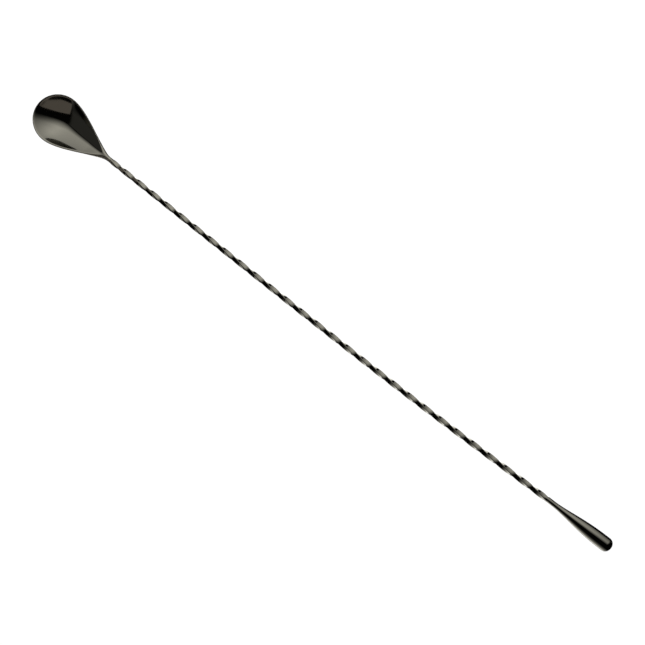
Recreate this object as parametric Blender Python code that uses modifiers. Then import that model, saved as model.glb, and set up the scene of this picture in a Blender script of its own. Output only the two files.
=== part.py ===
"""A long bar spoon: a pressed teardrop bowl, a twisted square stem and a turned teardrop weight.

The spoon lies along X with its bowl at -X. It rests on the flat under the bowl and on the weight.
The stem's plain round ends are pegs, which stand in blind sockets in the bowl's neck and in the
weight's neck. A ring of brazing filler closes each seam.
"""

import math

import bmesh
import bpy
from mathutils import Matrix, Vector

MM = 0.001

# The whole spoon
LENGTH = 400.0 * MM
TIP_X = -LENGTH / 2
END_X = LENGTH / 2
GAP = 0.25 * MM  # between a piece and its neighbour at a brazed seam

# Bowl, as distances from its widest point
BOWL_HALF_WIDTH = 14.6 * MM
TIP_REACH = 16.6 * MM
BOWL_DEPTH = 7.5 * MM  # from the rim to the middle of the wall at the deepest point
BOWL_ROUNDNESS = 2.0  # power of the wall's curve across the bowl
WALL = 1.0 * MM
NECK_REACH = 41.0 * MM
OUTLINE_HANDLES = (12.9 * MM, 33.0 * MM)  # the first bends it as sharply as the tip's ellipse
HOLLOW_REACH = 39.5 * MM
DEPTH_HANDLES = (9.6 * MM, 31.0 * MM)
THICKENING_START = 24.0 * MM
RIM_SHARPNESS = 4.0  # how short the rim's rounding is against the wall
UNDERSIDE_CUT = 0.25 * MM  # ground off the lowest point, to make the flat

# Neck and stem
NECK_RADIUS = 1.4 * MM
NECK_DROP = 0.5 * MM  # from the rim's plane to the neck's axis
BAR_SIDE = 2.52 * MM
BAR_CORNER = 0.32 * MM
QUARTER_TURN = 10.58 * MM  # length of stem that turns the bar by 90 degrees
# How far the twist strays from an even one, as waves of one, two and three half lengths
TWIST_WAVES = (math.radians(-24.6), math.radians(5.7), math.radians(6.0))
FIRST_ANGLE = math.radians(28)
ROUND_TO_SQUARE = 3.0 * MM
BEND_SHARE = 0.68  # how far along the stem its slight sideways bend is sharpest
BEND_HANDLE = 2.5 * MM  # how far towards -Y the bend is pulled
WEIGHT_Y = -0.2 * MM
FILLER_LENGTH = 0.7 * MM

# Sockets and pegs
SOCKET_RADIUS = 0.95 * MM
PEG_RADIUS = SOCKET_RADIUS - GAP
BOWL_SOCKET_DEPTH = 3.2 * MM
WEIGHT_SOCKET_DEPTH = 8.0 * MM

# Weight, as distances from the face of its neck
WEIGHT_RADIUS = 3.7 * MM
WEIGHT_LENGTH = 36.8 * MM
WEIGHT_END_REACH = 3.1 * MM
TAPER_START = 2.3 * MM
TAPER_END = 31.0 * MM
TAPER_HANDLES = (9.3 * MM, 18.5 * MM)

# Places that follow
WIDEST_X = TIP_X + TIP_REACH
RIM_Z = BOWL_DEPTH + WALL / 2 - UNDERSIDE_CUT
NECK_Z = RIM_Z - NECK_DROP
BOWL_FACE_X = WIDEST_X + NECK_REACH
WEIGHT_FACE_X = END_X - WEIGHT_LENGTH
SEAM = FILLER_LENGTH + 2 * GAP
STEM_START = BOWL_FACE_X + SEAM
STEM_END = WEIGHT_FACE_X - SEAM

# Fineness of the meshes
SPOKE_POINTS = 14
BOWL_ROWS = 28
FAN_SPOKES = 28
STATIONS_PER_QUARTER = 5
CORNER_POINTS = 3
TURNED_SIDES = 32


def bezier(start, first_handle, second_handle, end, share):
    """The point at this share of a cubic curve."""
    left = 1 - share
    return (
        start * left**3
        + first_handle * (3 * left**2 * share)
        + second_handle * (3 * left * share**2)
        + end * share**3
    )


def share_at(distance, reach, handles):
    """The share of a cubic curve at which it has come this distance."""
    distance = min(max(distance, 0.0), reach)
    near, far = 0.0, 1.0
    for _ in range(40):
        share = (near + far) / 2
        if bezier(0.0, handles[0], handles[1], reach, share) < distance:
            near = share
        else:
            far = share
    return near


def falling(distance, reach, handles, high, low):
    """The height of a smooth S from high to low, level at both ends, at a distance along it."""
    return bezier(high, high, low, low, share_at(distance, reach, handles))


def smooth_step(share):
    share = min(max(share, 0.0), 1.0)
    return share * share * (3 - 2 * share)


def material(name, color, roughness):
    made = bpy.data.materials.new(name)
    made.use_nodes = True
    shader = made.node_tree.nodes["Principled BSDF"]
    shader.inputs["Base Color"].default_value = (*color, 1.0)
    shader.inputs["Metallic"].default_value = 1.0
    shader.inputs["Roughness"].default_value = roughness
    return made


def add_object(name, mesh, collection, surface):
    made = bpy.data.objects.new(name, mesh)
    mesh.materials.append(surface)
    mesh.shade_smooth()
    mesh.set_sharp_from_angle(angle=math.radians(40))
    collection.objects.link(made)
    return made


def loft(name, rows):
    """One closed mesh through rows of points: equal points are welded and open ends are capped."""
    bm = bmesh.new()
    lines = [[bm.verts.new(point) for point in row] for row in rows]
    for first, second in zip(lines, lines[1:]):
        for i in range(len(first) - 1):
            bm.faces.new((first[i], first[i + 1], second[i + 1], second[i]))
    bmesh.ops.remove_doubles(bm, verts=bm.verts, dist=0.001 * MM)
    bmesh.ops.holes_fill(bm, edges=[edge for edge in bm.edges if edge.is_boundary])
    bmesh.ops.recalc_face_normals(bm, faces=bm.faces)
    mesh = bpy.data.meshes.new(name)
    bm.to_mesh(mesh)
    bm.free()
    return mesh


def cut(target, cutter):
    boolean = target.modifiers.new("Cut " + cutter.name, "BOOLEAN")
    boolean.operation = "DIFFERENCE"
    boolean.object = cutter


def add_cutter(name, bm, matrix, collection):
    mesh = bpy.data.meshes.new(name)
    bm.to_mesh(mesh)
    bm.free()
    made = bpy.data.objects.new(name, mesh)
    made.matrix_world = matrix
    made.hide_render = True
    made.display_type = "WIRE"
    collection.objects.link(made)
    return made


# ---------------------------------------------------------------- bowl


def half_width(distance):
    return falling(distance, NECK_REACH, OUTLINE_HANDLES, BOWL_HALF_WIDTH, NECK_RADIUS)


def depth(distance):
    return falling(distance, HOLLOW_REACH, DEPTH_HANDLES, BOWL_DEPTH, 0.0)


def thickness(distance):
    share = smooth_step((distance - THICKENING_START) / (HOLLOW_REACH - THICKENING_START))
    return WALL + (2 * NECK_RADIUS - WALL) * share


def rim_height(distance):
    return RIM_Z - NECK_DROP * smooth_step(distance / HOLLOW_REACH)


def wall_points(middle, normal, width, wall, out):
    """The wall's upper and lower points: its thickness closes in a round edge at the rim."""
    roundness = 2 + RIM_SHARPNESS * (width / wall - 0.5)
    half = wall / 2 * math.sqrt(max(1 - out**roundness, 0.0))
    return middle + normal * half, middle - normal * half


def body_point(distance, out, side):
    """The wall's middle between the widest point and the neck, from the centre line to the rim."""
    return Vector((
        WIDEST_X + distance,
        side * out * half_width(distance),
        rim_height(distance) - depth(distance) * (1 - out**BOWL_ROUNDNESS),
    ))


def tip_point(out, angle):
    """The wall's middle round the tip, as a half ellipse."""
    return Vector((
        WIDEST_X - TIP_REACH * out * math.sin(angle),
        BOWL_HALF_WIDTH * out * math.cos(angle),
        RIM_Z - BOWL_DEPTH * (1 - out**BOWL_ROUNDNESS),
    ))


def up_from(along, across):
    normal = along.cross(across)
    if normal.z < 0:
        normal.negate()
    return normal.normalized()


def body_spoke(distance, side):
    """Points from the centre line's top, round the rim, to the centre line's underside."""
    step = 0.02 * MM
    low, high = max(distance - step, 0.0), min(distance + step, NECK_REACH)
    tops, bottoms = [], []
    for i in range(SPOKE_POINTS + 1):
        out = math.sin(math.pi / 2 * i / SPOKE_POINTS)
        inner, outer = max(out - 0.001, 0.0), min(out + 0.001, 1.0)
        middle = body_point(distance, out, side)
        along = body_point(high, out, side) - body_point(low, out, side)
        across = body_point(distance, outer, side) - body_point(distance, inner, side)
        if i == 0:
            across = Vector((0.0, 1.0, 0.0))
        normal = up_from(along, across)
        top, bottom = wall_points(middle, normal, half_width(distance), thickness(distance), out)
        tops.append(top)
        bottoms.append(bottom)
    return tops + bottoms[-2::-1]


def tip_spoke(angle):
    tops, bottoms = [], []
    for i in range(SPOKE_POINTS + 1):
        out = math.sin(math.pi / 2 * i / SPOKE_POINTS)
        inner, outer = max(out - 0.001, 0.0), min(out + 0.001, 1.0)
        middle = tip_point(out, angle)
        normal = Vector((0.0, 0.0, 1.0))
        if i > 0:
            along = tip_point(outer, angle) - tip_point(inner, angle)
            around = tip_point(out, angle + 0.001) - tip_point(out, angle - 0.001)
            normal = up_from(along, around)
        top, bottom = wall_points(middle, normal, BOWL_HALF_WIDTH, WALL, out)
        tops.append(top)
        bottoms.append(bottom)
    return tops + bottoms[-2::-1]


def row_distances():
    """Where the bowl's rows lie, closer together towards the neck."""
    shares = [i / BOWL_ROWS for i in range(BOWL_ROWS + 1)]
    return [bezier(0.0, *OUTLINE_HANDLES, NECK_REACH, share) for share in shares]


def bowl(collection, cutters, surface):
    """The bowl and its neck: a wall that turns into a solid round neck with a blind socket."""
    rows = row_distances()
    spokes = [body_spoke(distance, 1) for distance in reversed(rows)]
    spokes += [tip_spoke(math.pi * i / FAN_SPOKES) for i in range(1, FAN_SPOKES)]
    spokes += [body_spoke(distance, -1) for distance in rows]
    made = add_object("bowl", loft("bowl", spokes), collection, surface)

    socket = bmesh.new()
    reach = BOWL_SOCKET_DEPTH + 1 * MM
    bmesh.ops.create_cone(
        socket,
        cap_ends=True,
        segments=24,
        radius1=SOCKET_RADIUS,
        radius2=SOCKET_RADIUS,
        depth=reach,
    )
    centre_x = BOWL_FACE_X - BOWL_SOCKET_DEPTH + reach / 2
    place = Matrix.Translation((centre_x, 0, NECK_Z)) @ Matrix.Rotation(math.pi / 2, 4, "Y")
    cut(made, add_cutter("bowl_socket_cutter", socket, place, cutters))

    flat = bmesh.new()
    bmesh.ops.create_cube(flat, size=40 * MM)
    place = Matrix.Translation((WIDEST_X, 0, -20 * MM))
    cut(made, add_cutter("underside_flat_cutter", flat, place, cutters))


# ---------------------------------------------------------------- stem


def stem_centre(x):
    """The stem's centre line: almost straight from neck to neck, with a slight sideways bend."""
    share = (x - BOWL_FACE_X) / (WEIGHT_FACE_X - BOWL_FACE_X)
    height = NECK_Z + (WEIGHT_RADIUS - NECK_Z) * share
    turn = share_at(share, 1.0, (BEND_SHARE, BEND_SHARE))
    return Vector((x, bezier(0.0, -BEND_HANDLE, -BEND_HANDLE, WEIGHT_Y, turn), height))


def twist_angle(x):
    """Right-hand twist: the bar turns from Y towards Z as it runs along +X."""
    share = (x - STEM_START) / (STEM_END - STEM_START)
    angle = FIRST_ANGLE + math.pi / 2 * (x - STEM_START) / QUARTER_TURN
    for i, wave in enumerate(TWIST_WAVES):
        angle += wave * math.sin(math.pi * (i + 1) * share)
    return angle


def squareness(x):
    from_end = min(x - STEM_START, STEM_END - x)
    return smooth_step(from_end / ROUND_TO_SQUARE)


def stem_section(x, radius, square):
    """A closed ring of points, between a circle and a square with rounded corners."""
    ring = []
    flat_half = BAR_SIDE / 2 - BAR_CORNER
    for i in range(4 * CORNER_POINTS):
        corner, step = divmod(i, CORNER_POINTS)
        corner_angle = math.pi / 2 * corner + math.pi / 4
        lean = 2 * step / (CORNER_POINTS - 1) - 1
        even_lean = math.pi / 4 * lean * (CORNER_POINTS - 1) / CORNER_POINTS
        round_point = Vector((0, radius, 0))
        round_point.rotate(Matrix.Rotation(corner_angle + even_lean, 3, "X"))
        corner_point = Vector((0, BAR_CORNER, 0))
        corner_point.rotate(Matrix.Rotation(corner_angle + math.pi / 4 * lean, 3, "X"))
        centre = Vector((0, flat_half * math.sqrt(2), 0))
        centre.rotate(Matrix.Rotation(corner_angle, 3, "X"))
        point = round_point.lerp(centre + corner_point, square)
        point.rotate(Matrix.Rotation(twist_angle(x), 3, "X"))
        ring.append(stem_centre(x) + point)
    return ring + ring[:1]


def twisted_stem(collection, surface):
    """A square bar twisted along its whole length, with a round peg at each end."""
    bowl_peg_end = BOWL_FACE_X - BOWL_SOCKET_DEPTH + GAP
    weight_peg_end = WEIGHT_FACE_X + WEIGHT_SOCKET_DEPTH - GAP
    quarters = (STEM_END - STEM_START) / QUARTER_TURN
    stations = math.ceil(quarters * STATIONS_PER_QUARTER)
    sections = [stem_section(bowl_peg_end, PEG_RADIUS, 0.0)]
    sections.append(stem_section(STEM_START, PEG_RADIUS, 0.0))
    for i in range(stations + 1):
        x = STEM_START + (STEM_END - STEM_START) * i / stations
        sections.append(stem_section(x, NECK_RADIUS, squareness(x)))
    sections.append(stem_section(STEM_END, PEG_RADIUS, 0.0))
    sections.append(stem_section(weight_peg_end, PEG_RADIUS, 0.0))
    add_object("twisted_stem", loft("twisted_stem", sections), collection, surface)


# ---------------------------------------------------------------- turned pieces


def turned(name, profile, collection, surface):
    """A solid of revolution about Z. The profile runs down its outer side, as (radius, height)."""
    mesh = bpy.data.meshes.new(name)
    points = [(radius, 0.0, height) for radius, height in profile]
    mesh.from_pydata(points, [(i, i + 1) for i in range(len(points) - 1)], [])
    made = bpy.data.objects.new(name, mesh)
    mesh.materials.append(surface)
    screw = made.modifiers.new("Turn", "SCREW")
    screw.axis = "Z"
    screw.steps = TURNED_SIDES
    screw.render_steps = TURNED_SIDES
    screw.use_merge_vertices = True
    screw.merge_threshold = 0.00001
    screw.use_smooth_shade = True
    collection.objects.link(made)
    return made


def weight(collection, surface):
    """The teardrop weight: a blunt round end, a long taper, a thin neck and a blind socket."""
    profile = []
    end_centre = WEIGHT_LENGTH - WEIGHT_END_REACH
    for i in range(9):
        angle = math.pi / 2 * (1 - i / 8)
        height = end_centre + WEIGHT_END_REACH * math.sin(angle)
        profile.append((WEIGHT_RADIUS * math.cos(angle), height))
    for i in range(16):
        share = 1 - i / 15
        radius = bezier(NECK_RADIUS, NECK_RADIUS, WEIGHT_RADIUS, WEIGHT_RADIUS, share)
        height = bezier(TAPER_START, *TAPER_HANDLES, TAPER_END, share)
        profile.append((radius, height))
    profile.append((NECK_RADIUS, 0.0))
    profile.append((SOCKET_RADIUS, 0.0))
    profile.append((SOCKET_RADIUS, WEIGHT_SOCKET_DEPTH))
    profile.append((0.0, WEIGHT_SOCKET_DEPTH + SOCKET_RADIUS / 2))
    made = turned("teardrop_weight", profile, collection, surface)
    made.location = (WEIGHT_FACE_X, WEIGHT_Y, WEIGHT_RADIUS)
    made.rotation_euler = (0, math.pi / 2, 0)


def filler_ring(name, place, collection, surface):
    """A ring of brazing filler round the peg, flush with the necks on both sides of it."""
    outer = NECK_RADIUS
    inner = SOCKET_RADIUS
    profile = [
        (outer, FILLER_LENGTH),
        (outer, 0.0),
        (inner, 0.0),
        (inner, FILLER_LENGTH),
        (outer, FILLER_LENGTH),
    ]
    made = turned(name, profile, collection, surface)
    made.location = place
    made.rotation_euler = (0, math.pi / 2, 0)


def clear_scene():
    for item in list(bpy.data.objects):
        bpy.data.objects.remove(item, do_unlink=True)


def main():
    clear_scene()
    spoon = bpy.data.collections.new("bar_spoon")
    cutters = bpy.data.collections.new("cutters")
    bpy.context.scene.collection.children.link(spoon)
    bpy.context.scene.collection.children.link(cutters)

    gunmetal = material("gunmetal", (0.16, 0.155, 0.14), 0.1)
    filler = material("brazing_filler", (0.22, 0.215, 0.18), 0.2)
    bowl(spoon, cutters, gunmetal)
    twisted_stem(spoon, gunmetal)
    weight(spoon, gunmetal)
    bowl_seam = (BOWL_FACE_X + GAP, 0, NECK_Z)
    weight_seam = (STEM_END + GAP, WEIGHT_Y, WEIGHT_RADIUS)
    filler_ring("bowl_filler_ring", bowl_seam, spoon, filler)
    filler_ring("weight_filler_ring", weight_seam, spoon, filler)


main()
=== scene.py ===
"""Looks of the bar spoon: fine surfaces, a polished gun-metal finish, a soft studio and a camera above.

The spoon lies along X with its bowl at -X, on a floor at z = 0. Every fine piece stands for one CAD
node and takes its place from that node's box. Lengths are in metres, and MM turns millimetres into them.
"""

import math

import bmesh
import bpy
from mathutils import Matrix, Vector


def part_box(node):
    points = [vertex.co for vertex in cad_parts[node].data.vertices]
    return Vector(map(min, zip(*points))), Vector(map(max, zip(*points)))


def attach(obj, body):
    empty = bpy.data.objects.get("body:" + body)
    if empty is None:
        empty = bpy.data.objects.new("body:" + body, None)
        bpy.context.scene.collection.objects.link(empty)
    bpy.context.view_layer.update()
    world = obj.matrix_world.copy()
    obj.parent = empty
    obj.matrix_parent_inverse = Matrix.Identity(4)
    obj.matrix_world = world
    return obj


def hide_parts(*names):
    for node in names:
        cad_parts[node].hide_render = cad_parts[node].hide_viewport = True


MM = 0.001

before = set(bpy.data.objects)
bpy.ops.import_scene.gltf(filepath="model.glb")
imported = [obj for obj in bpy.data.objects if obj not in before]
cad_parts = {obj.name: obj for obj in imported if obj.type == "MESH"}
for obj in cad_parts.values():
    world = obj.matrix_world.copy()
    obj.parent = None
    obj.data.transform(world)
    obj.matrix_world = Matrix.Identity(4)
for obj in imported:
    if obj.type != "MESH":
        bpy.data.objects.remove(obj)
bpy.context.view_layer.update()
bowl_low, bowl_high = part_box("bowl")
stem_low, stem_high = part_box("twisted_stem")
weight_low, weight_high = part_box("teardrop_weight")

# Bowl, as distances from its widest point
TIP_REACH = 16.6 * MM
BOWL_HALF_WIDTH = 14.6 * MM
BOWL_DEPTH = 7.5 * MM  # from the rim to the middle of the wall at the deepest point
BOWL_ROUNDNESS = 2.0  # power of the wall's curve across the bowl
WALL = 1.0 * MM
OUTLINE_HANDLES = (12.9 * MM, 33.0 * MM)
HOLLOW_REACH = 39.5 * MM
DEPTH_HANDLES = (9.6 * MM, 31.0 * MM)
THICKENING_START = 24.0 * MM
RIM_SHARPNESS = 4.0  # how short the rim's rounding is against the wall
UNDERSIDE_CUT = 0.25 * MM

# Neck and stem
NECK_RADIUS = 1.4 * MM
NECK_DROP = 0.5 * MM
BAR_SIDE = 2.52 * MM
BAR_CORNER = 0.32 * MM
QUARTER_TURN = 10.58 * MM
TWIST_WAVES = (math.radians(-24.6), math.radians(5.7), math.radians(6.0))
FIRST_ANGLE = math.radians(28)
ROUND_TO_SQUARE = 3.0 * MM
BEND_SHARE = 0.68
BEND_HANDLE = 2.5 * MM
WEIGHT_Y = -0.2 * MM
SEAM = 1.2 * MM  # from a neck's face to the stem's shoulder
SEAM_LINE = 0.01 * MM  # what shows of the joint between a filler ring and its neighbour

# Sockets and pegs
SOCKET_RADIUS = 0.95 * MM
PEG_RADIUS = 0.7 * MM
BOWL_SOCKET_DEPTH = 3.2 * MM
WEIGHT_SOCKET_DEPTH = 8.0 * MM

# Weight, as distances from the face of its neck
WEIGHT_END_REACH = 3.1 * MM
TAPER_START = 2.3 * MM
TAPER_END = 31.0 * MM
TAPER_HANDLES = (9.3 * MM, 18.5 * MM)

# Places that follow from the CAD nodes
TIP_X = bowl_low.x
BOWL_FACE_X = bowl_high.x
WIDEST_X = TIP_X + TIP_REACH
NECK_REACH = BOWL_FACE_X - WIDEST_X
RIM_Z = BOWL_DEPTH + WALL / 2 - UNDERSIDE_CUT
NECK_Z = RIM_Z - NECK_DROP
WEIGHT_FACE_X = weight_low.x
WEIGHT_LENGTH = weight_high.x - weight_low.x
WEIGHT_RADIUS = (weight_high.z - weight_low.z) / 2
STEM_START = BOWL_FACE_X + SEAM
STEM_END = WEIGHT_FACE_X - SEAM

# Finishes: the coated steel, the filler, and the edges where they are worn
GUNMETAL = (0.16, 0.154, 0.128, 1.0)
FILLER = (0.18, 0.175, 0.135, 1.0)
WORN = (0.24, 0.23, 0.2, 1.0)
GUNMETAL_ROUGHNESS = 0.08
FILLER_ROUGHNESS = 0.16
GUNMETAL_BUMP = 0.002 * MM
FILLER_BUMP = 0.004 * MM
DARKER_TONE = 0.93  # where the coating is at its darkest, as a share of its colour
WEAR_SHARE = 0.5  # how much of the worn colour shows on an edge
SCRATCH_ROUGHNESS = 0.08  # added along a scratch
WEAR_ROUGHNESS = 0.05  # added on a worn edge
CROSSWISE_STRENGTH = 0.6  # of the crosswise scratches, against the lengthwise ones
WAVINESS = 2.0  # of the polish, in bump depths
GROOVE = 0.25  # of a scratch, in bump depths
CLOUDS_PER_METRE = 22.0
SMEARS_PER_METRE = 90.0
LENGTHWISE_PER_METRE = (60.0, 2600.0, 2600.0)
CROSSWISE_PER_METRE = (2200.0, 90.0, 700.0)

# Camera
CAMERA_PLACE = (0.1316, 0.00083, 0.51327)
CAMERA_LEAN = math.radians(13.0)
CAMERA_ROLL = math.radians(37.738)
LENS = 54.27  # in mm
SENSOR_WIDTH = 36.0  # in mm

# Studio, in degrees from overhead and in brightness against white
WHITE = (1.0, 1.0, 1.0, 1.0)
WARM = (1.0, 0.9, 0.86, 1.0)
SOFT_BOX_START = -10.0
SOFT_BOX_BEND = -45.0  # where its edge starts to curve away, towards +X
SOFT_BOX_CURVE = 0.0055
SOFT_BOX_RAMP = 33.0
SHARP_START = -5.0  # where the soft box begins past its sharp end, towards -X
SHARP_RAMP = 14.0
SOFT_BOX_LIGHT = 1.85
TABLE_LIGHT = 5.2
TABLE_LIGHT_LIMIT = 3.0
GREY_SIDE_LIGHT = 0.09
DARKNESS = 0.006
STRAIGHT_UP = 0.0001  # keeps the division by a direction's level part away from zero
FLOOR_REACH = 20.0
FLOOR_LIGHT = 1.05

# Cards, which show only in reflections
STRIP_START = 3.0 * MM  # past the stem's shoulder
STRIP_WIDTH = 9.0 * MM
STRIP_HEIGHT = 0.05 * MM
STRIP_LIGHT = 3.0
CARD_HEIGHT = 60.0 * MM
CARD_LIGHT = 0.38
CARD_CORNERS = ((-143, 1), (-247, -67), (-400, -335), (-285, -205), (-192, -108), (-148, -40))  # in mm
DARK_CARD_CORNERS = (
    (-400, -335), (-285, -205), (-192, -108), (-148, -40), (-120, -40),
    (-60, -400), (-200, -1500), (-900, -1500),
)  # in mm
FLAG_GAP = 0.8 * MM  # between the bowl's edge and the flag round it
FLAG_HEIGHT = 8.65 * MM
FLAG_END = 32.0 * MM  # past the bowl's widest point

# Fineness of the meshes
SPOKE_POINTS = 44
BOWL_ROWS = 130
FAN_SPOKES = 150
STATIONS_PER_QUARTER = 20
FLAT_POINTS = 8
CORNER_POINTS = 6
TURNED_SIDES = 96
TAPER_ROWS = 120
END_ROWS = 40
FLAG_STEPS = 30
HALVINGS = 40  # in the search for a place on a curve
WELD = 0.0002 * MM
SHARP_ANGLE = math.radians(50)
NEAR_STEP = 0.02 * MM  # to each side of a point, to find how the bowl's surface slopes there
NEAR_SHARE = 0.001  # the same, as a share of the way out to the rim
CUTTER_OVERLAP = 1.0 * MM
FLAT_CUTTER_SIZE = 40.0 * MM


# ---------------------------------------------------------------- curves


def bezier(start, first_handle, second_handle, end, share):
    """The point at this share of a cubic curve."""
    left = 1 - share
    return (
        start * left**3
        + first_handle * (3 * left**2 * share)
        + second_handle * (3 * left * share**2)
        + end * share**3
    )


def share_at(distance, reach, handles):
    """The share of a cubic curve at which it has come this distance."""
    distance = min(max(distance, 0.0), reach)
    near, far = 0.0, 1.0
    for _ in range(HALVINGS):
        share = (near + far) / 2
        if bezier(0.0, handles[0], handles[1], reach, share) < distance:
            near = share
        else:
            far = share
    return near


def falling(distance, reach, handles, high, low):
    """The height of a smooth S from high to low, level at both ends, at a distance along it."""
    return bezier(high, high, low, low, share_at(distance, reach, handles))


def smooth_step(share):
    share = min(max(share, 0.0), 1.0)
    return share * share * (3 - 2 * share)


# ---------------------------------------------------------------- meshes


def loft(name, rows):
    """One closed mesh through rows of points: equal points are welded and open ends are capped."""
    bm = bmesh.new()
    lines = [[bm.verts.new(point) for point in row] for row in rows]
    for first, second in zip(lines, lines[1:]):
        for i in range(len(first) - 1):
            bm.faces.new((first[i], first[i + 1], second[i + 1], second[i]))
    bmesh.ops.remove_doubles(bm, verts=bm.verts, dist=WELD)
    bmesh.ops.holes_fill(bm, edges=[edge for edge in bm.edges if edge.is_boundary])
    bmesh.ops.recalc_face_normals(bm, faces=bm.faces)
    mesh = bpy.data.meshes.new(name)
    bm.to_mesh(mesh)
    bm.free()
    return mesh


def add_piece(name, mesh, node, surface):
    """A fine piece that stands for a CAD node."""
    mesh.materials.append(surface)
    mesh.shade_smooth()
    mesh.set_sharp_from_angle(angle=SHARP_ANGLE)
    made = bpy.data.objects.new(name, mesh)
    bpy.context.scene.collection.objects.link(made)
    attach(made, "root")
    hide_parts(node)
    return made


def cut_away(mesh, cutter_mesh):
    """The mesh with another closed mesh cut out of it."""
    target = bpy.data.objects.new("target", mesh)
    cutter = bpy.data.objects.new("cutter", cutter_mesh)
    for item in (target, cutter):
        bpy.context.scene.collection.objects.link(item)
    boolean = target.modifiers.new("Cut", "BOOLEAN")
    boolean.operation = "DIFFERENCE"
    boolean.object = cutter
    bpy.context.view_layer.update()
    graph = bpy.context.evaluated_depsgraph_get()
    made = bpy.data.meshes.new_from_object(target.evaluated_get(graph))
    for item in (target, cutter):
        bpy.data.objects.remove(item, do_unlink=True)
    made.materials.clear()
    return made


def fit_to_node(mesh, node):
    """Takes off the few hundredths of a millimetre by which a fine mesh stands out of its node's box."""
    low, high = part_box(node)
    for axis in range(3):
        values = [vertex.co[axis] for vertex in mesh.vertices]
        first, last = min(values), max(values)
        scale = (high[axis] - low[axis]) / (last - first)
        for vertex in mesh.vertices:
            vertex.co[axis] = low[axis] + (vertex.co[axis] - first) * scale
    return mesh


# ---------------------------------------------------------------- bowl


def half_width(distance):
    return falling(distance, NECK_REACH, OUTLINE_HANDLES, BOWL_HALF_WIDTH, NECK_RADIUS)


def depth(distance):
    return falling(distance, HOLLOW_REACH, DEPTH_HANDLES, BOWL_DEPTH, 0.0)


def thickness(distance):
    share = smooth_step((distance - THICKENING_START) / (HOLLOW_REACH - THICKENING_START))
    return WALL + (2 * NECK_RADIUS - WALL) * share


def rim_height(distance):
    return RIM_Z - NECK_DROP * smooth_step(distance / HOLLOW_REACH)


def wall_points(middle, normal, width, wall, out):
    """The wall's upper and lower points: its thickness closes in a round edge at the rim."""
    roundness = 2 + RIM_SHARPNESS * (width / wall - 0.5)
    half = wall / 2 * math.sqrt(max(1 - out**roundness, 0.0))
    return middle + normal * half, middle - normal * half


def body_point(distance, out, side):
    """The wall's middle between the widest point and the neck, from the centre line to the rim."""
    return Vector((
        WIDEST_X + distance,
        side * out * half_width(distance),
        rim_height(distance) - depth(distance) * (1 - out**BOWL_ROUNDNESS),
    ))


def tip_point(out, angle):
    """The wall's middle round the tip, as a half ellipse."""
    return Vector((
        WIDEST_X - TIP_REACH * out * math.sin(angle),
        BOWL_HALF_WIDTH * out * math.cos(angle),
        RIM_Z - BOWL_DEPTH * (1 - out**BOWL_ROUNDNESS),
    ))


def up_from(along, across):
    normal = along.cross(across)
    if normal.z < 0:
        normal.negate()
    return normal.normalized()


def body_spoke(distance, side):
    """Points from the centre line's top, round the rim, to the centre line's underside."""
    low, high = max(distance - NEAR_STEP, 0.0), min(distance + NEAR_STEP, NECK_REACH)
    tops, bottoms = [], []
    for i in range(SPOKE_POINTS + 1):
        out = math.sin(math.pi / 2 * i / SPOKE_POINTS)
        inner, outer = max(out - NEAR_SHARE, 0.0), min(out + NEAR_SHARE, 1.0)
        middle = body_point(distance, out, side)
        along = body_point(high, out, side) - body_point(low, out, side)
        across = body_point(distance, outer, side) - body_point(distance, inner, side)
        if i == 0:
            across = Vector((0.0, 1.0, 0.0))
        normal = up_from(along, across)
        top, bottom = wall_points(middle, normal, half_width(distance), thickness(distance), out)
        tops.append(top)
        bottoms.append(bottom)
    return tops + bottoms[-2::-1]


def tip_spoke(angle):
    tops, bottoms = [], []
    for i in range(SPOKE_POINTS + 1):
        out = math.sin(math.pi / 2 * i / SPOKE_POINTS)
        inner, outer = max(out - NEAR_SHARE, 0.0), min(out + NEAR_SHARE, 1.0)
        middle = tip_point(out, angle)
        normal = Vector((0.0, 0.0, 1.0))
        if i > 0:
            along = tip_point(outer, angle) - tip_point(inner, angle)
            around = tip_point(out, angle + NEAR_SHARE) - tip_point(out, angle - NEAR_SHARE)
            normal = up_from(along, around)
        top, bottom = wall_points(middle, normal, BOWL_HALF_WIDTH, WALL, out)
        tops.append(top)
        bottoms.append(bottom)
    return tops + bottoms[-2::-1]


def bowl_mesh():
    """The bowl and its neck: a wall that turns into a solid round neck with a blind socket."""
    shares = [i / BOWL_ROWS for i in range(BOWL_ROWS + 1)]
    rows = [bezier(0.0, *OUTLINE_HANDLES, NECK_REACH, share) for share in shares]
    spokes = [body_spoke(distance, 1) for distance in reversed(rows)]
    spokes += [tip_spoke(math.pi * i / FAN_SPOKES) for i in range(1, FAN_SPOKES)]
    spokes += [body_spoke(distance, -1) for distance in rows]
    mesh = loft("fine_bowl", spokes)

    socket = bmesh.new()
    reach = BOWL_SOCKET_DEPTH + CUTTER_OVERLAP
    bmesh.ops.create_cone(
        socket,
        cap_ends=True,
        segments=TURNED_SIDES,
        radius1=SOCKET_RADIUS,
        radius2=SOCKET_RADIUS,
        depth=reach,
    )
    centre_x = BOWL_FACE_X - BOWL_SOCKET_DEPTH + reach / 2
    place = Matrix.Translation((centre_x, 0, NECK_Z)) @ Matrix.Rotation(math.pi / 2, 4, "Y")
    bmesh.ops.transform(socket, matrix=place, verts=socket.verts)
    flat = bmesh.new()
    bmesh.ops.create_cube(flat, size=FLAT_CUTTER_SIZE)
    bmesh.ops.translate(flat, vec=(WIDEST_X, 0, -FLAT_CUTTER_SIZE / 2), verts=flat.verts)
    for name, bm in (("socket", socket), ("flat", flat)):
        cutter = bpy.data.meshes.new(name)
        bm.to_mesh(cutter)
        bm.free()
        mesh = cut_away(mesh, cutter)
    return fit_to_node(mesh, "bowl")


# ---------------------------------------------------------------- stem


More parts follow.
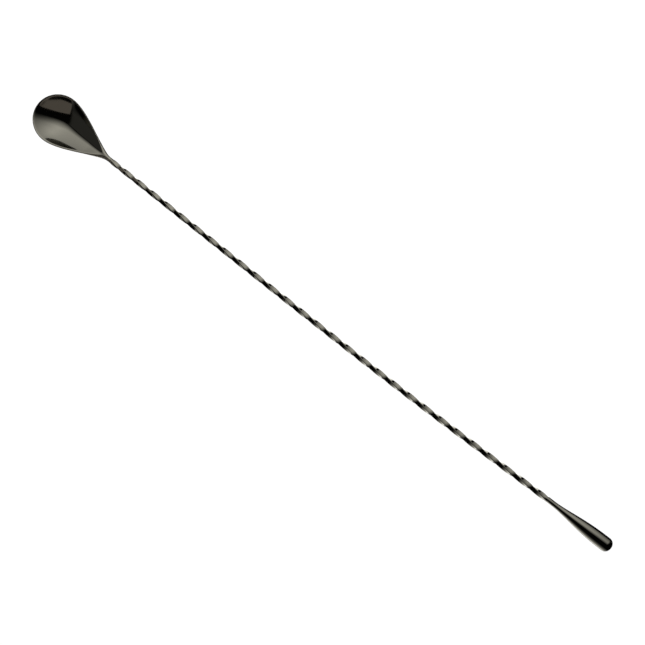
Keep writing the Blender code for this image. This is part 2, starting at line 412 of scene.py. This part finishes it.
def stem_centre(x):
    """The stem's centre line: almost straight from neck to neck, with a slight sideways bend."""
    share = (x - BOWL_FACE_X) / (WEIGHT_FACE_X - BOWL_FACE_X)
    height = NECK_Z + (WEIGHT_RADIUS - NECK_Z) * share
    turn = share_at(share, 1.0, (BEND_SHARE, BEND_SHARE))
    return Vector((x, bezier(0.0, -BEND_HANDLE, -BEND_HANDLE, WEIGHT_Y, turn), height))


def twist_angle(x):
    """Right-hand twist: the bar turns from Y towards Z as it runs along +X."""
    share = (x - STEM_START) / (STEM_END - STEM_START)
    angle = FIRST_ANGLE + math.pi / 2 * (x - STEM_START) / QUARTER_TURN
    for i, wave in enumerate(TWIST_WAVES):
        angle += wave * math.sin(math.pi * (i + 1) * share)
    return angle


def squareness(x):
    from_end = min(x - STEM_START, STEM_END - x)
    return smooth_step(from_end / ROUND_TO_SQUARE)


def square_outline():
    """(angle, distance) of each point round a square bar with rounded corners."""
    flat_half = BAR_SIDE / 2 - BAR_CORNER
    outline = []
    for corner in range(4):
        turn = math.pi / 2 * corner
        for step in range(CORNER_POINTS):
            lean = math.pi / 2 * step / (CORNER_POINTS - 1)
            across = flat_half + BAR_CORNER * math.cos(lean)
            up = flat_half + BAR_CORNER * math.sin(lean)
            outline.append((math.atan2(up, across) + turn, math.hypot(across, up)))
        for step in range(1, FLAT_POINTS):
            across = flat_half - 2 * flat_half * step / FLAT_POINTS
            up = BAR_SIDE / 2
            outline.append((math.atan2(up, across) + turn, math.hypot(across, up)))
    return outline


def stem_section(x, radius, square, outline):
    """A closed ring of points, between a circle and a square with rounded corners."""
    ring = []
    for angle, distance in outline:
        reach = radius + (distance - radius) * square
        turned_to = angle + twist_angle(x)
        ring.append(stem_centre(x) + Vector((0, math.cos(turned_to), math.sin(turned_to))) * reach)
    return ring + ring[:1]


def stem_mesh():
    """A square bar twisted along its whole length, with a round peg at each end."""
    outline = square_outline()
    stations = math.ceil((STEM_END - STEM_START) / QUARTER_TURN * STATIONS_PER_QUARTER)
    sections = [stem_section(stem_low.x, PEG_RADIUS, 0.0, outline)]
    sections.append(stem_section(STEM_START, PEG_RADIUS, 0.0, outline))
    for i in range(stations + 1):
        x = STEM_START + (STEM_END - STEM_START) * i / stations
        sections.append(stem_section(x, NECK_RADIUS, squareness(x), outline))
    sections.append(stem_section(STEM_END, PEG_RADIUS, 0.0, outline))
    sections.append(stem_section(stem_high.x, PEG_RADIUS, 0.0, outline))
    return fit_to_node(loft("fine_stem", sections), "twisted_stem")


# ---------------------------------------------------------------- turned pieces


def turned_mesh(name, profile, start):
    """A solid of revolution about an axis along +X. The profile is (distance along, radius)."""
    rows = []
    for along, radius in profile:
        row = []
        for i in range(TURNED_SIDES + 1):
            angle = 2 * math.pi * (i % TURNED_SIDES) / TURNED_SIDES
            around = Vector((0, math.cos(angle), math.sin(angle)))
            row.append(start + Vector((along, 0, 0)) + around * radius)
        rows.append(row)
    return loft(name, rows)


def weight_mesh():
    """The teardrop weight: a blunt round end, a long taper, a thin neck and a blind socket."""
    profile = [
        (WEIGHT_SOCKET_DEPTH + SOCKET_RADIUS / 2, 0.0),
        (WEIGHT_SOCKET_DEPTH, SOCKET_RADIUS),
        (0.0, SOCKET_RADIUS),
        (0.0, NECK_RADIUS),
    ]
    for i in range(TAPER_ROWS + 1):
        share = i / TAPER_ROWS
        along = bezier(TAPER_START, *TAPER_HANDLES, TAPER_END, share)
        radius = bezier(NECK_RADIUS, NECK_RADIUS, WEIGHT_RADIUS, WEIGHT_RADIUS, share)
        profile.append((along, radius))
    end_centre = WEIGHT_LENGTH - WEIGHT_END_REACH
    for i in range(END_ROWS + 1):
        angle = math.pi / 2 * i / END_ROWS
        along = end_centre + WEIGHT_END_REACH * math.sin(angle)
        profile.append((along, WEIGHT_RADIUS * math.cos(angle) if i < END_ROWS else 0.0))
    return turned_mesh("fine_weight", profile, Vector((WEIGHT_FACE_X, WEIGHT_Y, WEIGHT_RADIUS)))


def ring_mesh(name, first_x, last_x, y, z):
    """A brazed seam, flush with the necks on both sides of it."""
    length = last_x - first_x
    profile = [
        (0.0, SOCKET_RADIUS),
        (0.0, NECK_RADIUS),
        (length, NECK_RADIUS),
        (length, SOCKET_RADIUS),
        (0.0, SOCKET_RADIUS),
    ]
    return turned_mesh(name, profile, Vector((first_x, y, z)))


# ---------------------------------------------------------------- materials


class Nodes:
    """Short calls for building a node tree."""

    def __init__(self, tree):
        self.tree = tree

    def add(self, kind, **settings):
        node = self.tree.nodes.new(kind)
        for key, value in settings.items():
            setattr(node, key, value)
        return node

    def link(self, output, target):
        if isinstance(output, (int, float, tuple)):
            target.default_value = output
        else:
            self.tree.links.new(output, target)

    def math(self, operation, first, second=0.0, clamp=False):
        node = self.add("ShaderNodeMath", operation=operation, use_clamp=clamp)
        self.link(first, node.inputs[0])
        self.link(second, node.inputs[1])
        return node.outputs[0]

    def spread(self, value, low, high, to_low, to_high, interpolation="SMOOTHSTEP"):
        node = self.add("ShaderNodeMapRange", interpolation_type=interpolation)
        self.link(value, node.inputs["Value"])
        node.inputs["From Min"].default_value = low
        node.inputs["From Max"].default_value = high
        node.inputs["To Min"].default_value = to_low
        node.inputs["To Max"].default_value = to_high
        return node.outputs["Result"]

    def noise(self, place, scale, detail=3.0, roughness=0.5):
        node = self.add("ShaderNodeTexNoise")
        self.link(place, node.inputs["Vector"])
        node.inputs["Scale"].default_value = scale
        node.inputs["Detail"].default_value = detail
        node.inputs["Roughness"].default_value = roughness
        return node.outputs["Fac"]

    def stretched(self, place, scale):
        node = self.add("ShaderNodeMapping")
        self.link(place, node.inputs["Vector"])
        node.inputs["Scale"].default_value = scale
        return node.outputs["Vector"]

    def mix_color(self, share, first, second):
        node = self.add("ShaderNodeMix", data_type="RGBA")
        self.link(share, node.inputs["Factor"])
        self.link(first, node.inputs["A"])
        self.link(second, node.inputs["B"])
        return node.outputs["Result"]


def polished_metal(name, color, worn_color, roughness, scratch_depth):
    """Mirror-polished metal under a dark coating, with faint smears, hairline scratches and worn edges."""
    made = bpy.data.materials.new(name)
    made.use_nodes = True
    nodes = Nodes(made.node_tree)
    shader = made.node_tree.nodes["Principled BSDF"]
    shader.inputs["Metallic"].default_value = 1.0
    place = nodes.add("ShaderNodeTexCoord").outputs["Object"]

    smears = nodes.noise(place, SMEARS_PER_METRE, detail=4.0, roughness=0.6)
    clouds = nodes.noise(place, CLOUDS_PER_METRE, detail=2.0)
    lengthwise = nodes.noise(nodes.stretched(place, LENGTHWISE_PER_METRE), 1.0, detail=3.0, roughness=0.7)
    crosswise = nodes.noise(nodes.stretched(place, CROSSWISE_PER_METRE), 1.0, detail=2.0, roughness=0.6)
    lines = nodes.spread(lengthwise, 0.62, 0.74, 0.0, 1.0)
    cross_lines = nodes.spread(crosswise, 0.66, 0.78, 0.0, 1.0)
    scratches = nodes.math("MAXIMUM", lines, nodes.math("MULTIPLY", cross_lines, CROSSWISE_STRENGTH))
    pointiness = nodes.add("ShaderNodeNewGeometry").outputs["Pointiness"]
    edges = nodes.spread(pointiness, 0.54, 0.62, 0.0, 1.0)
    wear = nodes.math("MULTIPLY", edges, nodes.spread(smears, 0.4, 0.65, 0.3, 1.0))

    tone = nodes.spread(clouds, 0.3, 0.7, 0.0, 1.0)
    darker = tuple(DARKER_TONE * value for value in color[:3]) + (1.0,)
    base = nodes.mix_color(tone, darker, color)
    base = nodes.mix_color(nodes.math("MULTIPLY", wear, WEAR_SHARE), base, worn_color)
    nodes.link(base, shader.inputs["Base Color"])

    rough = nodes.spread(smears, 0.35, 0.75, roughness * 0.8, roughness * 1.5)
    rough = nodes.math("ADD", rough, nodes.math("MULTIPLY", scratches, SCRATCH_ROUGHNESS))
    rough = nodes.math("ADD", rough, nodes.math("MULTIPLY", wear, WEAR_ROUGHNESS))
    nodes.link(rough, shader.inputs["Roughness"])

    bump = nodes.add("ShaderNodeBump")
    bump.inputs["Strength"].default_value = 1.0
    bump.inputs["Distance"].default_value = scratch_depth
    waves = nodes.math("MULTIPLY", clouds, WAVINESS)
    height = nodes.math("SUBTRACT", waves, nodes.math("MULTIPLY", scratches, GROOVE))
    nodes.link(height, bump.inputs["Height"])
    nodes.link(bump.outputs["Normal"], shader.inputs["Normal"])
    return made


# ---------------------------------------------------------------- studio


def sky_map(nodes):
    """Where light comes from: degrees from overhead in all, towards +X, and towards +Y."""
    direction = nodes.add("ShaderNodeTexCoord").outputs["Generated"]
    parts = nodes.add("ShaderNodeSeparateXYZ")
    nodes.link(direction, parts.inputs[0])
    x, y, z = parts.outputs
    squares = nodes.math("ADD", nodes.math("MULTIPLY", x, x), nodes.math("MULTIPLY", y, y))
    level = nodes.math("SQRT", squares)
    from_top = nodes.math("DEGREES", nodes.math("ARCCOSINE", z))
    stretch = nodes.math("DIVIDE", from_top, nodes.math("MAXIMUM", level, STRAIGHT_UP))
    return from_top, nodes.math("MULTIPLY", stretch, x), nodes.math("MULTIPLY", stretch, y)


def studio_world():
    """A graded soft box along the +Y side, a dark ceiling, and a pale table past the -Y side."""
    world = bpy.data.worlds.new("studio")
    bpy.context.scene.world = world
    world.use_nodes = True
    nodes = Nodes(world.node_tree)
    background = world.node_tree.nodes["Background"]
    from_top, east, north = sky_map(nodes)

    # The soft box: its near edge curves away towards +X
    past_bend = nodes.math("MAXIMUM", nodes.math("SUBTRACT", east, SOFT_BOX_BEND), 0.0)
    rise = nodes.math("MULTIPLY", nodes.math("MULTIPLY", past_bend, past_bend), SOFT_BOX_CURVE)
    start = nodes.spread(east, -60.0, -45.0, SHARP_START, SOFT_BOX_START)
    ramp = nodes.spread(east, -62.0, -30.0, SHARP_RAMP, SOFT_BOX_RAMP)
    above = nodes.math("SUBTRACT", north, nodes.math("ADD", rise, start))
    soft_box = nodes.math("DIVIDE", above, ramp, clamp=True)
    soft_box = nodes.math("MULTIPLY", soft_box, SOFT_BOX_LIGHT)
    for value, low, high, to_low, to_high in (
        (east, -32.0, 55.0, 1.0, 0.0),  # it fades out towards +X,
        (east, -80.0, -32.0, 0.45, 1.0),  # dims towards -X
        (north, 50.0, 85.0, 1.0, 0.62),  # and towards its far side,
        (north, 90.0, 94.0, 1.0, 0.02),  # and ends just below the horizon
    ):
        soft_box = nodes.math("MULTIPLY", soft_box, nodes.spread(value, low, high, to_low, to_high))

    # The table: brighter further down the -Y side, but dark straight below and towards -X
    table = nodes.spread(north, -52.0, -160.0, 0.0, 1.0, "LINEAR")
    table = nodes.math("MULTIPLY", nodes.math("POWER", table, 2.0), TABLE_LIGHT)
    table = nodes.math("MINIMUM", table, TABLE_LIGHT_LIMIT)
    table = nodes.math("MULTIPLY", table, nodes.spread(from_top, 132.0, 158.0, 1.0, 0.06))
    table = nodes.math("MULTIPLY", table, nodes.spread(east, -60.0, -42.0, 0.02, 1.0))

    # A dim grey towards -X, between the table and the soft box
    grey_side = nodes.spread(east, -49.0, -43.0, GREY_SIDE_LIGHT, 0.0)
    grey_side = nodes.math("MULTIPLY", grey_side, nodes.spread(above, -5.0, 0.0, 1.0, 0.0))
    grey_side = nodes.math("MULTIPLY", grey_side, nodes.spread(north, -68.0, -50.0, 0.0, 1.0))

    light = nodes.math("ADD", nodes.math("ADD", soft_box, table), nodes.math("ADD", grey_side, DARKNESS))
    seen = nodes.add("ShaderNodeLightPath").outputs["Is Camera Ray"]  # the camera sees plain white
    nodes.link(WHITE, background.inputs["Color"])
    nodes.link(nodes.math("MAXIMUM", light, seen), background.inputs["Strength"])


def stage_object(name, points, faces, surface):
    mesh = bpy.data.meshes.new(name)
    mesh.from_pydata(points, [], faces)
    mesh.materials.append(surface)
    made = bpy.data.objects.new(name, mesh)
    bpy.context.scene.collection.objects.link(made)
    return made


def glowing(name, color, strength):
    made = bpy.data.materials.new(name)
    made.use_nodes = True
    shader = made.node_tree.nodes["Principled BSDF"]
    shader.inputs["Base Color"].default_value = (0.0, 0.0, 0.0, 1.0)
    shader.inputs["Specular IOR Level"].default_value = 0.0
    shader.inputs["Emission Color"].default_value = color
    shader.inputs["Emission Strength"].default_value = strength
    return made


def card(name, points, faces, color, strength):
    """A glowing or black card that only reflections show."""
    made = stage_object(name, points, faces, glowing(name, color, strength))
    made.visible_camera = False
    made.visible_shadow = False
    made.visible_diffuse = False


def level_card(name, corners, height, color, strength):
    points = [(x, y, height) for x, y in corners]
    card(name, points, [range(len(points))], color, strength)


def pale_floor():
    """A plain white floor, evenly lit. The spoon mirrors the studio's table instead."""
    corners = [(x * FLOOR_REACH, y * FLOOR_REACH, 0.0) for x, y in ((-1, -1), (1, -1), (1, 1), (-1, 1))]
    floor = stage_object("floor", corners, [range(4)], glowing("floor", WHITE, FLOOR_LIGHT))
    floor.visible_glossy = False


def bowl_cards():
    """A small dim card held over the bowl's -Y side, with a black card past its far edge."""
    corners = [(x * MM, y * MM) for x, y in CARD_CORNERS]
    level_card("warm_card", corners, CARD_HEIGHT, WARM, CARD_LIGHT)
    corners = [(x * MM, y * MM) for x, y in DARK_CARD_CORNERS]
    level_card("dark_card", corners, CARD_HEIGHT, WHITE, DARKNESS)


def edge_flag():
    """A black ribbon that stands round the bowl's +Y edge and keeps the soft box off the rim."""
    line = []
    for i in range(FLAG_STEPS + 1):
        angle = math.pi / 2 * (1 - i / FLAG_STEPS)
        x = WIDEST_X - (TIP_REACH + FLAG_GAP) * math.sin(angle)
        line.append((x, (BOWL_HALF_WIDTH + FLAG_GAP) * math.cos(angle)))
    for i in range(1, FLAG_STEPS + 1):
        distance = FLAG_END * i / FLAG_STEPS
        line.append((WIDEST_X + distance, half_width(distance) + FLAG_GAP))
    points = [(x, y, z) for x, y in line for z in (0.0, FLAG_HEIGHT)]
    faces = [(2 * i, 2 * i + 1, 2 * i + 3, 2 * i + 2) for i in range(len(line) - 1)]
    card("edge_flag", points, faces, WHITE, DARKNESS)


def pale_strip():
    """The lit floor beside the stem's +Y side, as the stem mirrors it."""
    first_x, last_x = STEM_START + STRIP_START, STEM_END
    corners = [(first_x, 0), (last_x, 0), (last_x, STRIP_WIDTH), (first_x, STRIP_WIDTH)]
    level_card("pale_strip", corners, STRIP_HEIGHT, WHITE, STRIP_LIGHT)


def camera():
    """Above the spoon, a little towards the weight, turned so that the spoon lies across the frame."""
    data = bpy.data.cameras.new("camera")
    data.sensor_width = SENSOR_WIDTH
    data.lens = LENS
    made = bpy.data.objects.new("camera", data)
    bpy.context.scene.collection.objects.link(made)
    turn = Matrix.Rotation(CAMERA_LEAN, 4, "Y") @ Matrix.Rotation(CAMERA_ROLL, 4, "Z")
    made.matrix_world = Matrix.Translation(CAMERA_PLACE) @ turn
    bpy.context.scene.camera = made


# ---------------------------------------------------------------- the scene

gunmetal = polished_metal("gunmetal", GUNMETAL, WORN, GUNMETAL_ROUGHNESS, GUNMETAL_BUMP)
brazing_filler = polished_metal("brazing_filler", FILLER, WORN, FILLER_ROUGHNESS, FILLER_BUMP)
add_piece("fine_bowl", bowl_mesh(), "bowl", gunmetal)
add_piece("fine_stem", stem_mesh(), "twisted_stem", gunmetal)
add_piece("fine_weight", weight_mesh(), "teardrop_weight", gunmetal)
bowl_seam = ring_mesh("fine_bowl_seam", BOWL_FACE_X + SEAM_LINE, STEM_START - SEAM_LINE, 0.0, NECK_Z)
add_piece("fine_bowl_seam", bowl_seam, "bowl_filler_ring", brazing_filler)
weight_seam = ring_mesh(
    "fine_weight_seam", STEM_END + SEAM_LINE, WEIGHT_FACE_X - SEAM_LINE, WEIGHT_Y, WEIGHT_RADIUS
)
add_piece("fine_weight_seam", weight_seam, "weight_filler_ring", brazing_filler)

camera()
pale_floor()
bowl_cards()
edge_flag()
pale_strip()
studio_world()
bpy.context.scene.view_settings.view_transform = "Standard"
